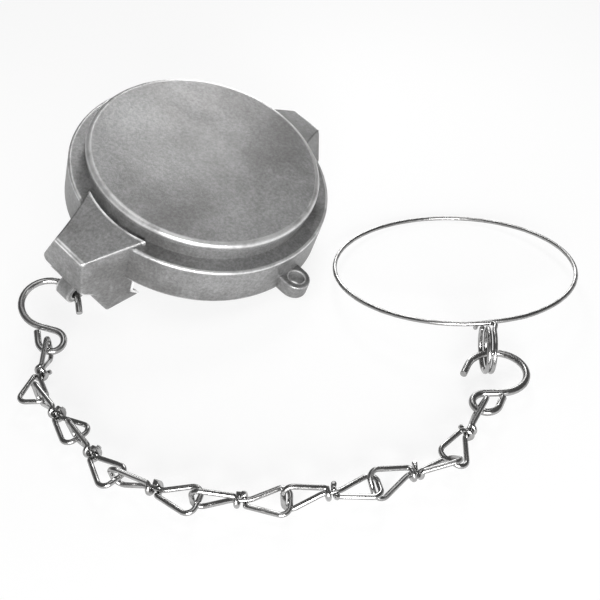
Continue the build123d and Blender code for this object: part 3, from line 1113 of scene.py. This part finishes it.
@dataclass
class Studio:
    """The white floor, the soft lights and the camera."""

    floor_half: float = 3.0
    floor_drop: float = 0.0003
    floor_white: float = 0.86
    floor_rough: float = 0.9
    floor_glow: float = 1.1
    floor_share: float = 0.75
    room_tone: float = 0.12
    backdrop_tone: float = 0.32
    backdrop_top: tuple[float, float] = (0.12, 0.5)
    backdrop_side: tuple[float, float] = (-0.3, 0.5)
    lamps: tuple[SoftBox, ...] = (
        SoftBox("back_soft_box", (0.02, 0.28, 0.31), size=0.12, power=0.36),
        SoftBox("top_soft_box", (0.0, 0.0, 1.1), size=0.6, power=1.5),
        SoftBox("front_soft_box", (0.06, -1.0, 0.16), size=0.5, power=22.0),
        SoftBox("rear_fill_box", (0.1, 1.3, 0.3), size=0.6, power=5.0),
    )
    camera_at: tuple[float, float, float] = (-0.002262, -0.348365, 0.267522)
    pitch: float = 36.82
    roll: float = -1.3
    focal_pixels: float = 943.3
    clip_near: float = 0.01
    clip_far: float = 50.0

    def build(self) -> None:
        """Makes everything that isn't the object."""
        self._view()
        self._floor()
        self._world()
        for lamp in self.lamps:
            lamp.hang()
        self._camera()

    @staticmethod
    def _view() -> None:
        """Sets how the render's light becomes colour."""
        bpy.context.scene.view_settings.view_transform = "Standard"

    def _floor(self) -> None:
        """Lays the white floor, which keeps the object's shadow."""
        deselect_all()
        place = (0.0, 0.0, -self.floor_drop)
        bpy.ops.mesh.primitive_plane_add(size=2 * self.floor_half, location=place)
        floor = bpy.context.object
        floor.name = "floor"
        material, graph, shader = new_material("white_floor")
        shader.inputs["Base Color"].default_value = grey(self.floor_white)
        shader.inputs["Roughness"].default_value = self.floor_rough
        glow = graph.add("ShaderNodeEmission")
        glow.inputs["Strength"].default_value = self.floor_glow
        mix = graph.add("ShaderNodeMixShader")
        path = graph.add("ShaderNodeLightPath")
        direct = graph.math("ADD", path.outputs["Is Camera Ray"], path.outputs["Is Glossy Ray"])
        direct = graph.math("ADD", direct, path.outputs["Is Transmission Ray"], clamp=True)
        seen = graph.math("MULTIPLY", direct, self.floor_share)
        graph.join(seen, mix.inputs[0])
        graph.join(shader.outputs[0], mix.inputs[1])
        graph.join(glow.outputs[0], mix.inputs[2])
        graph.join(mix.outputs[0], graph.tree.nodes["Material Output"].inputs["Surface"])
        floor.data.materials.append(material)

    def _world(self) -> None:
        """Fills the room: a white backdrop low down and behind, darker above and in front."""
        world = bpy.data.worlds.new("studio_room")
        bpy.context.scene.world = world
        world.use_nodes = True
        graph = Graph(world.node_tree)
        back = world.node_tree.nodes["Background"]
        way = graph.add("ShaderNodeTexCoord").outputs["Generated"]
        parts = graph.add("ShaderNodeSeparateXYZ")
        graph.join(way, parts.inputs[0])
        low = graph.window(parts.outputs["Z"], *self.backdrop_top, to_low=1.0, to_high=0.0)
        behind = graph.window(parts.outputs["Y"], *self.backdrop_side)
        bright = graph.math("MULTIPLY", low, behind)
        room = graph.blend(bright, grey(self.room_tone), grey(self.backdrop_tone))
        seen = graph.add("ShaderNodeLightPath").outputs["Is Camera Ray"]
        graph.join(graph.blend(seen, room, grey(1.0)), back.inputs["Color"])
        back.inputs["Strength"].default_value = 1.0

    def _camera(self) -> None:
        """Puts the camera where the photograph was taken from."""
        pitch = radians(self.pitch)
        forward = Vector((0.0, cos(pitch), -sin(pitch)))
        up = Vector((0.0, sin(pitch), cos(pitch)))
        right = Vector((1.0, 0.0, 0.0))
        roll = radians(self.roll)
        x_axis = right * cos(roll) + up * sin(roll)
        y_axis = up * cos(roll) - right * sin(roll)
        data = bpy.data.cameras.new("camera")
        data.sensor_width = SENSOR_WIDTH
        data.lens = SENSOR_WIDTH * self.focal_pixels / PHOTO_PIXELS
        data.clip_start = self.clip_near
        data.clip_end = self.clip_far
        camera = bpy.data.objects.new("camera", data)
        turn = Matrix((x_axis, y_axis, -forward)).transposed().to_4x4()
        camera.matrix_world = Matrix.Translation(self.camera_at) @ turn
        bpy.context.scene.collection.objects.link(camera)
        bpy.context.scene.camera = camera


def main() -> None:
    """Builds each piece in order."""
    logging.basicConfig(level=logging.INFO, format="%(message)s")
    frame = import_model()
    marks = Marks(frame["joints"], frame["record"]["mounts"])
    hook = SHook()
    Cap(frame["nodes"], marks).build()
    LOG.info("dressed the casting and its seal")
    Hooks(marks, hook).build()
    Chain(marks, KnottedLink(), hook).build()
    RetainingRing(marks, hook).build()
    Studio().build()
    LOG.info("made the studio")


if __name__ == "__main__":
    main()
